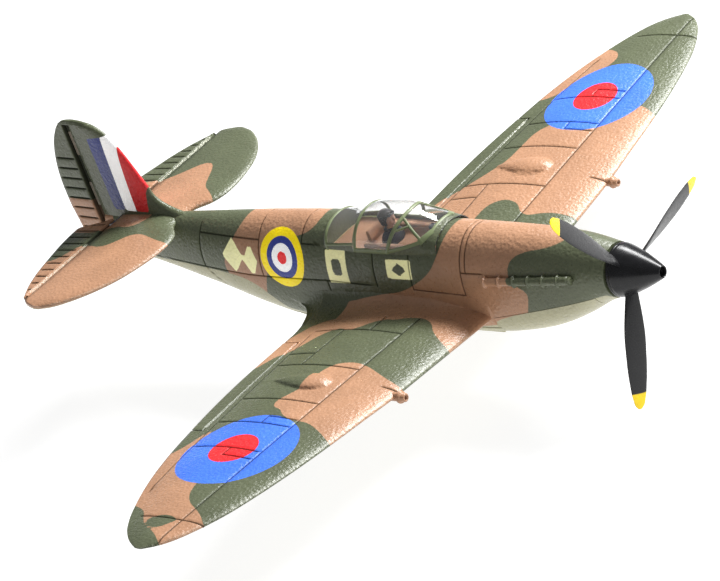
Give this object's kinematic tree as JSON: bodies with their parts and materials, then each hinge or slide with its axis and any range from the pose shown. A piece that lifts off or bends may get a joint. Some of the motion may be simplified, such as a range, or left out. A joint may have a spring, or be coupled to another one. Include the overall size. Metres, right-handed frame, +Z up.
{
  "type": "radio-controlled warbird aeroplane",
  "caption": "Small foam warbird with elliptical wings, geared propeller with spinner, bubble canopy, and hinged ailerons, elevator and rudder driven by servos.",
  "frame": {"origin": "middle of the flat underside of the belly cover, on which the model lies, below the wing spar", "axes": "+X towards the nose, +Y to port, +Z up"},
  "size_m": [0.3186, 0.404, 0.1143],
  "materials": {
    "foam_camouflage": "matte",
    "foam_sky": "matte",
    "gloss_black": "gloss",
    "blade_black": "satin",
    "steel": "satin",
    "magnet": "polished",
    "brass": "satin",
    "nylon_white": "satin",
    "frame_plastic": "satin",
    "servo_case": "satin",
    "carbon": "satin",
    "clear_plastic": "gloss",
    "plywood": "matte",
    "circuit_board": "satin",
    "battery_wrap": "satin",
    "cockpit_foam": "matte",
    "figure_paint": "matte",
    "exhaust_paint": "satin"
  },
  "bodies": {
    "airframe": {"fuselage_left": "foam_camouflage", "fuselage_right": "foam_camouflage", "belly_fairing": "foam_sky", "belly_cover": "foam_sky", "screws": "steel", "nose_magnet": "magnet", "fin": "foam_camouflage", "tailplane": "foam_camouflage", "wing_left": "foam_camouflage", "wing_right": "foam_camouflage", "wing_spar": "carbon", "gun_stubs": "foam_camouflage", "aileron_servo_left": "servo_case", "aileron_servo_right": "servo_case", "rudder_servo": "servo_case", "elevator_servo": "servo_case", "rod_guides": "nylon_white", "servo_tray": "plywood", "rudder_hinge": "foam_camouflage", "elevator_hinges": "foam_camouflage", "aileron_hinges": "foam_camouflage", "shaft_bushes": "brass", "gearbox_frame": "frame_plastic", "motor": "steel", "battery": "battery_wrap", "battery_tray": "plywood", "flight_controller": "circuit_board", "canopy": "clear_plastic", "cockpit_tub": "cockpit_foam", "pilot": "figure_paint", "instrument_panel": "frame_plastic", "exhaust_left": "exhaust_paint", "exhaust_right": "exhaust_paint"},
    "prop": {"propeller": "blade_black", "spinner": "gloss_black", "spinner_backplate": "gloss_black", "spinner_screw": "steel", "prop_shaft": "steel", "spur_gear": "nylon_white"},
    "pinion": {"motor_pinion": "brass"},
    "hatch": {"nose_hatch": "foam_sky", "hatch_magnet": "magnet"},
    "rudder": {"rudder": "foam_camouflage", "rudder_horn": "nylon_white"},
    "rudder_arm": {"rudder_arm": "nylon_white"},
    "rudder_rod": {"rudder_rod": "steel"},
    "elevator": {"elevator_left": "foam_camouflage", "elevator_right": "foam_camouflage", "elevator_joiner": "steel", "elevator_horn": "nylon_white"},
    "elevator_arm": {"elevator_arm": "nylon_white"},
    "elevator_rod": {"elevator_rod": "steel"},
    "aileron_left": {"aileron_left": "foam_camouflage", "aileron_horn_left": "nylon_white"},
    "aileron_arm_left": {"aileron_arm_left": "nylon_white"},
    "aileron_rod_left": {"aileron_rod_left": "steel"},
    "aileron_right": {"aileron_right": "foam_camouflage", "aileron_horn_right": "nylon_white"},
    "aileron_arm_right": {"aileron_arm_right": "nylon_white"},
    "aileron_rod_right": {"aileron_rod_right": "steel"}
  },
  "joints": [
    {"name": "prop_spin", "type": "hinge", "parent": "airframe", "child": "prop", "pos_m": [0.09, 0, 0.03], "axis": [1, 0, 0], "continuous": true},
    {"name": "motor_spin", "type": "hinge", "parent": "airframe", "child": "pinion", "pos_m": [0.072, 0, 0.0199], "axis": [1, 0, 0], "continuous": true},
    {"name": "hatch_open", "type": "hinge", "parent": "airframe", "child": "hatch", "pos_m": [0.0796, 0, 0.0162], "axis": [0, -1, 0], "range_deg": [0, 50]},
    {"name": "rudder_turn", "type": "hinge", "parent": "airframe", "child": "rudder", "pos_m": [-0.1935, 0, 0.05], "axis": [0, 0, 1], "range_deg": [-25, 25]},
    {"name": "rudder_arm_turn", "type": "hinge", "parent": "airframe", "child": "rudder_arm", "pos_m": [-0.05, 0.0024, 0.02], "axis": [0, 0, 1], "range_deg": [-25, 25]},
    {"name": "rudder_rod_swing", "type": "hinge", "parent": "rudder_arm", "child": "rudder_rod", "pos_m": [-0.05, 0.0104, 0.0184], "axis": [0, 0, 1], "range_deg": [-25, 25]},
    {"name": "elevator_tilt", "type": "hinge", "parent": "airframe", "child": "elevator", "pos_m": [-0.18, 0, 0.0435], "axis": [0, 1, 0], "range_deg": [-20, 20]},
    {"name": "elevator_arm_turn", "type": "hinge", "parent": "airframe", "child": "elevator_arm", "pos_m": [-0.02, -0.007, 0.03], "axis": [0, 1, 0], "range_deg": [-20, 20]},
    {"name": "elevator_rod_swing", "type": "hinge", "parent": "elevator_arm", "child": "elevator_rod", "pos_m": [-0.02, -0.008, 0.022], "axis": [0, 1, 0], "range_deg": [-20, 20]},
    {"name": "aileron_tilt", "type": "hinge", "parent": "airframe", "child": "aileron_left", "pos_m": [-0.04898, 0.057, 0.01694], "axis": [0.1131, 0.9887, 0.0979], "range_deg": [-20, 20]},
    {"name": "aileron_arm_left_turn", "type": "hinge", "parent": "airframe", "child": "aileron_arm_left", "pos_m": [-0.02513, 0.05452, 0.01449], "axis": [0.1131, 0.9887, 0.0979], "range_deg": [-20, 20]},
    {"name": "aileron_rod_left_swing", "type": "hinge", "parent": "aileron_arm_left", "child": "aileron_rod_left", "pos_m": [-0.02513, 0.05511, 0.00852], "axis": [0.1131, 0.9887, 0.0979], "range_deg": [-20, 20]},
    {"name": "aileron_right_tilt", "type": "hinge", "parent": "airframe", "child": "aileron_right", "pos_m": [-0.04898, -0.057, 0.01694], "axis": [-0.1131, 0.9887, -0.0979], "range_deg": [-20, 20]},
    {"name": "aileron_arm_right_turn", "type": "hinge", "parent": "airframe", "child": "aileron_arm_right", "pos_m": [-0.02513, -0.05452, 0.01449], "axis": [-0.1131, 0.9887, -0.0979], "range_deg": [-20, 20]},
    {"name": "aileron_rod_right_swing", "type": "hinge", "parent": "aileron_arm_right", "child": "aileron_rod_right", "pos_m": [-0.02513, -0.05511, 0.00852], "axis": [-0.1131, 0.9887, -0.0979], "range_deg": [-20, 20]}
  ],
  "couplings": [
    {"joint": "motor_spin", "follows": "prop_spin", "ratio": -4},
    {"joint": "rudder_arm_turn", "follows": "rudder_turn", "ratio": 1},
    {"joint": "rudder_rod_swing", "follows": "rudder_turn", "ratio": -1},
    {"joint": "elevator_arm_turn", "follows": "elevator_tilt", "ratio": 1},
    {"joint": "elevator_rod_swing", "follows": "elevator_tilt", "ratio": -1},
    {"joint": "aileron_arm_left_turn", "follows": "aileron_tilt", "ratio": 1},
    {"joint": "aileron_rod_left_swing", "follows": "aileron_tilt", "ratio": -1},
    {"joint": "aileron_right_tilt", "follows": "aileron_tilt", "ratio": -1},
    {"joint": "aileron_arm_right_turn", "follows": "aileron_tilt", "ratio": -1},
    {"joint": "aileron_rod_right_swing", "follows": "aileron_tilt", "ratio": 1}
  ]
}
